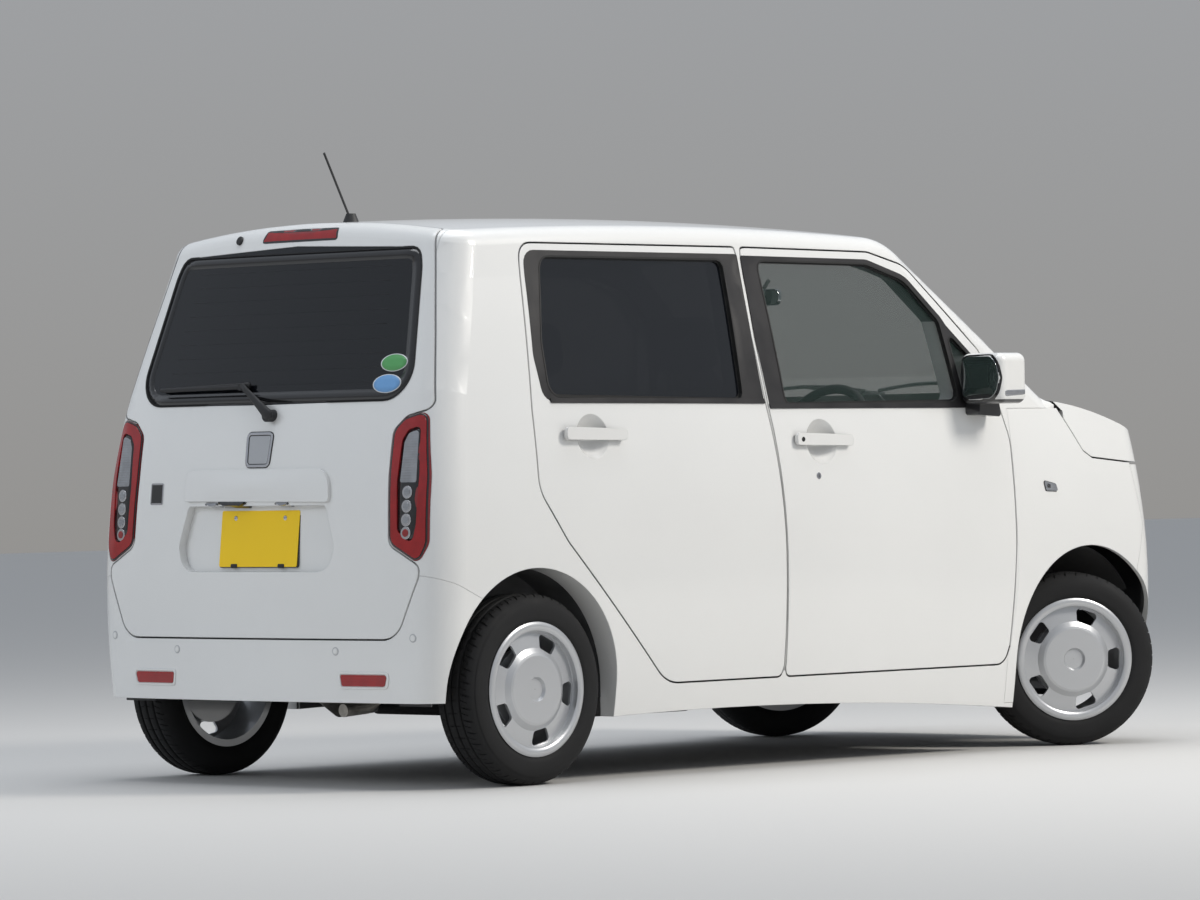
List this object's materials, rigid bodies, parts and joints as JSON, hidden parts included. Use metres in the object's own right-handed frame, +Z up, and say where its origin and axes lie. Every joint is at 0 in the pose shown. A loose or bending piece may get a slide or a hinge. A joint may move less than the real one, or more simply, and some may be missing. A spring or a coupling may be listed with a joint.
{
  "type": "kei car",
  "caption": "Small tall hatchback with hinged doors, tailgate and bonnet, steered front wheels and rolling road wheels.",
  "frame": {"origin": "on the ground, at the middle of the car's outline", "axes": "+X forward, +Y to the car's left, +Z up"},
  "size_m": [3.394, 1.736, 1.8565],
  "materials": {
    "white_paint": "pearl clear coat",
    "black_trim": "fine grain",
    "gloss_black": "gloss",
    "front_glass": "light green tint",
    "dark_glass": "dark tint",
    "lamp_red": "clear red lens",
    "lamp_clear": "clear lens",
    "tyre_rubber": "matt",
    "wheel_silver": "silver lacquer",
    "chassis_black": "underbody coating",
    "floor_metal": "primer",
    "exhaust_steel": "heat-stained",
    "engine_metal": "cast",
    "seat_fabric": "woven",
    "cabin_plastic": "soft grain"
  },
  "bodies": {
    "root": {"body_side_right": "white_paint", "body_side_left": "white_paint", "roof_panel": "white_paint", "windscreen": "front_glass", "tail_lamps": "lamp_red", "front_fenders": "white_paint", "front_bumper": "white_paint", "headlamps": "lamp_clear", "front_grille": "black_trim", "rear_bumper": "white_paint", "floor_pan": "floor_metal", "front_frame": "chassis_black", "front_liners": "black_trim", "rear_axle": "chassis_black", "fuel_tank": "chassis_black", "exhaust": "exhaust_steel", "engine": "engine_metal", "front_seats": "seat_fabric", "rear_seat": "seat_fabric", "dashboard": "cabin_plastic", "cowl": "black_trim", "antenna": "black_trim"},
    "bonnet": {"bonnet": "white_paint"},
    "tailgate": {"tailgate": "white_paint", "tailgate_glass": "dark_glass", "stop_lamp": "lamp_red", "rear_wiper": "black_trim"},
    "steering_wheel": {"steering_wheel": "cabin_plastic"},
    "front_door_right": {"front_door_right": "white_paint", "front_door_glass_right": "front_glass", "front_handle_right": "white_paint", "mirror_right": "white_paint"},
    "rear_door_right": {"rear_door_right": "white_paint", "rear_door_glass_right": "dark_glass", "rear_handle_right": "white_paint"},
    "knuckle_right": {"knuckle_right": "chassis_black"},
    "wheel_front_right": {"wheel_front_right": "wheel_silver", "tyre_front_right": "tyre_rubber"},
    "wheel_rear_right": {"wheel_rear_right": "wheel_silver", "tyre_rear_right": "tyre_rubber"},
    "front_door_left": {"front_door_left": "white_paint", "front_door_glass_left": "front_glass", "front_handle_left": "white_paint", "mirror_left": "white_paint"},
    "rear_door_left": {"rear_door_left": "white_paint", "rear_door_glass_left": "dark_glass", "rear_handle_left": "white_paint"},
    "knuckle_left": {"knuckle_left": "chassis_black"},
    "wheel_front_left": {"wheel_front_left": "wheel_silver", "tyre_front_left": "tyre_rubber"},
    "wheel_rear_left": {"wheel_rear_left": "wheel_silver", "tyre_rear_left": "tyre_rubber"}
  },
  "joints": [
    {"name": "bonnet_hinge", "type": "hinge", "parent": "root", "child": "bonnet", "pos_m": [1.155, 0, 1.12], "axis": [0, -1, 0], "range_deg": [0, 50]},
    {"name": "tailgate_hinge", "type": "hinge", "parent": "root", "child": "tailgate", "pos_m": [-1.424, 0, 1.651], "axis": [0, 1, 0], "range_deg": [0, 80]},
    {"name": "front_door_hinge_right", "type": "hinge", "parent": "root", "child": "front_door_right", "pos_m": [0.903, -0.737, 0.7], "axis": [0, 0, 1], "range_deg": [0, 68]},
    {"name": "rear_door_hinge_right", "type": "hinge", "parent": "root", "child": "rear_door_right", "pos_m": [-0.183, -0.737, 0.7], "axis": [0, 0, 1], "range_deg": [0, 78]},
    {"name": "steer_right", "type": "hinge", "parent": "root", "child": "knuckle_right", "pos_m": [1.268, -0.6125, 0.277], "axis": [0, 0.2079, 0.9781], "range_deg": [-7, 69]},
    {"name": "spin_front_right", "type": "hinge", "parent": "knuckle_right", "child": "wheel_front_right", "pos_m": [1.24785, -0.64703, 0.2772], "axis": [0.5038, 0.8633, 0.029], "continuous": true},
    {"name": "spin_rear_right", "type": "hinge", "parent": "root", "child": "wheel_rear_right", "pos_m": [-1.262, -0.6525, 0.277], "axis": [0, 1, 0], "continuous": true},
    {"name": "front_door_hinge_left", "type": "hinge", "parent": "root", "child": "front_door_left", "pos_m": [0.903, 0.737, 0.7], "axis": [0, 0, -1], "range_deg": [0, 68]},
    {"name": "rear_door_hinge_left", "type": "hinge", "parent": "root", "child": "rear_door_left", "pos_m": [-0.183, 0.737, 0.7], "axis": [0, 0, -1], "range_deg": [0, 78]},
    {"name": "steer_left", "type": "hinge", "parent": "root", "child": "knuckle_left", "pos_m": [1.268, 0.6125, 0.277], "axis": [0, -0.2079, 0.9781], "range_deg": [-7, 69]},
    {"name": "spin_front_left", "type": "hinge", "parent": "knuckle_left", "child": "wheel_front_left", "pos_m": [1.28815, 0.64703, 0.2772], "axis": [0.5038, 0.8633, -0.029], "continuous": true},
    {"name": "spin_rear_left", "type": "hinge", "parent": "root", "child": "wheel_rear_left", "pos_m": [-1.262, 0.6525, 0.277], "axis": [0, 1, 0], "continuous": true},
    {"name": "steering_wheel_turn", "type": "hinge", "parent": "root", "child": "steering_wheel", "pos_m": [0.44, -0.33, 0.985], "axis": [-0.9063, 0, 0.4226], "range_deg": [-105, 1035]}
  ],
  "couplings": [
    {"joint": "steer_left", "follows": "steer_right", "ratio": 1},
    {"joint": "steering_wheel_turn", "follows": "steer_right", "ratio": 15}
  ]
}
